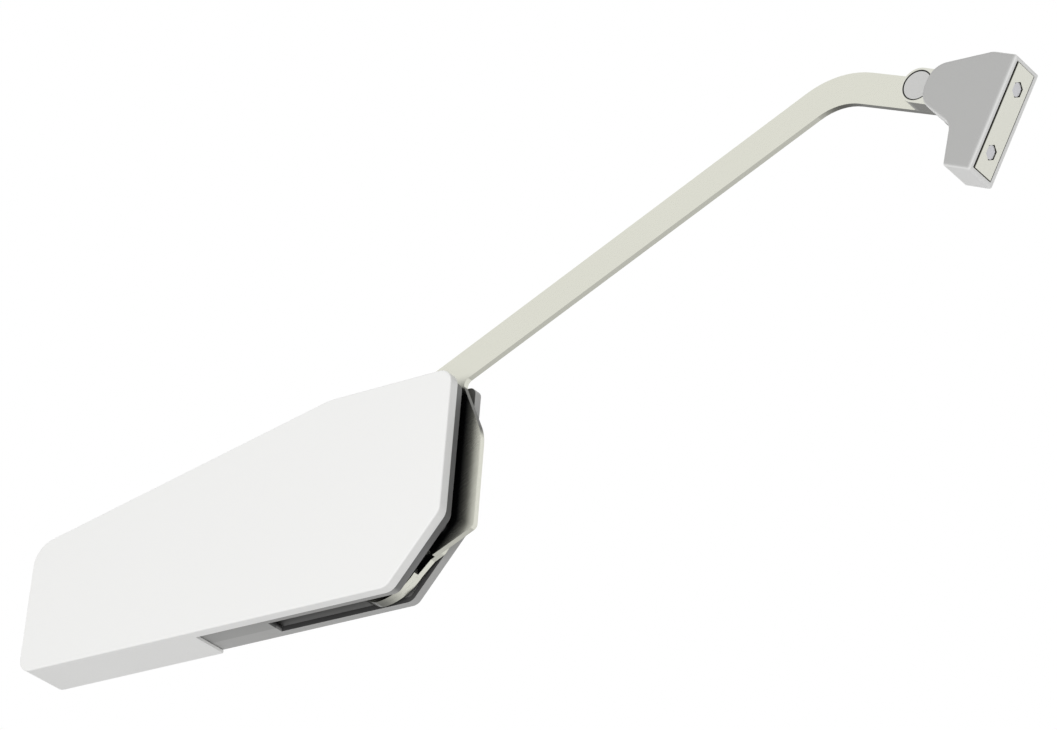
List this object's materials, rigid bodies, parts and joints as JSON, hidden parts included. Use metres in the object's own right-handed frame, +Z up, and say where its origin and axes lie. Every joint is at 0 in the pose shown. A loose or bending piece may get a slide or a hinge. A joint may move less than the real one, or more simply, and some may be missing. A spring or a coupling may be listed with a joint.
{
  "type": "lift-up flap stay",
  "caption": "Lift-up flap stay for a wall cabinet: flat spring housing with a white cover, swinging sheet-steel lever arm and a capped flap bracket.",
  "frame": {"origin": "where the lever's axis meets the cabinet's side panel", "axes": "+X to the cabinet's front, +Y into the side panel that carries the stay, +Z up"},
  "size_m": [0.3731, 0.0178, 0.1449],
  "materials": {
    "white_cover": "satin moulded",
    "grey_case": "satin moulded",
    "grey_cap": "satin moulded",
    "dark_plastic": "satin moulded",
    "lever_steel": "nickel plated, satin",
    "plated_steel": "zinc plated",
    "spring_steel": "bright drawn",
    "bush_brass": "plain"
  },
  "bodies": {
    "housing": {"cover_cap": "white_cover", "inner_case": "grey_case", "outer_case": "grey_case", "case_screws": "plated_steel", "lever_axle": "plated_steel", "bearing_plate": "plated_steel", "damper_cylinder": "dark_plastic", "upper_spring": "spring_steel", "lower_spring": "spring_steel"},
    "slide": {"spring_slide": "dark_plastic", "guide_rods": "plated_steel", "roller_pin": "plated_steel", "damper_rod": "plated_steel"},
    "roller": {"cam_roller": "spring_steel"},
    "spindle": {"force_spindle": "plated_steel"},
    "seat": {"spring_seat": "dark_plastic"},
    "lever": {"arm_plate": "lever_steel", "cam_plate": "lever_steel", "hub_bush": "bush_brass", "hub_rivets": "plated_steel", "bracket_pin": "plated_steel", "pin_washer": "dark_plastic"},
    "bracket": {"bracket_arm": "lever_steel", "base_plate": "lever_steel", "flap_bolts": "plated_steel", "bracket_cap": "grey_cap"}
  },
  "joints": [
    {"name": "lever_pivot", "type": "hinge", "parent": "housing", "child": "lever", "pos_m": [0, -0.0065, 0], "axis": [0, -1, 0], "range_deg": [-110, 5]},
    {"name": "bracket_pivot", "type": "hinge", "parent": "lever", "child": "bracket", "pos_m": [0.19586, -0.0105, 0.10955], "axis": [0, -1, 0], "range_deg": [-20, 135]},
    {"name": "spring_slide_travel", "type": "slide", "parent": "housing", "child": "slide", "axis": [1, 0, 0], "range_m": [-0.0105, 0.0006], "deforming": ["upper_spring", "lower_spring"]},
    {"name": "roller_spin", "type": "hinge", "parent": "slide", "child": "roller", "pos_m": [-0.01155, -0.0065, 0.009], "axis": [0, -1, 0], "continuous": true},
    {"name": "force_setting", "type": "hinge", "parent": "housing", "child": "spindle", "pos_m": [-0.1345, -0.0082, 0.009], "axis": [1, 0, 0], "range_deg": [0, 1440]},
    {"name": "spring_seat_travel", "type": "slide", "parent": "housing", "child": "seat", "axis": [1, 0, 0], "range_m": [0, 0.0061]}
  ],
  "couplings": [
    {"joint": "spring_slide_travel", "follows": "lever_pivot", "m_per_rad": 0.0052087},
    {"joint": "spring_seat_travel", "follows": "force_setting", "m_per_rad": 0.00023873}
  ]
}
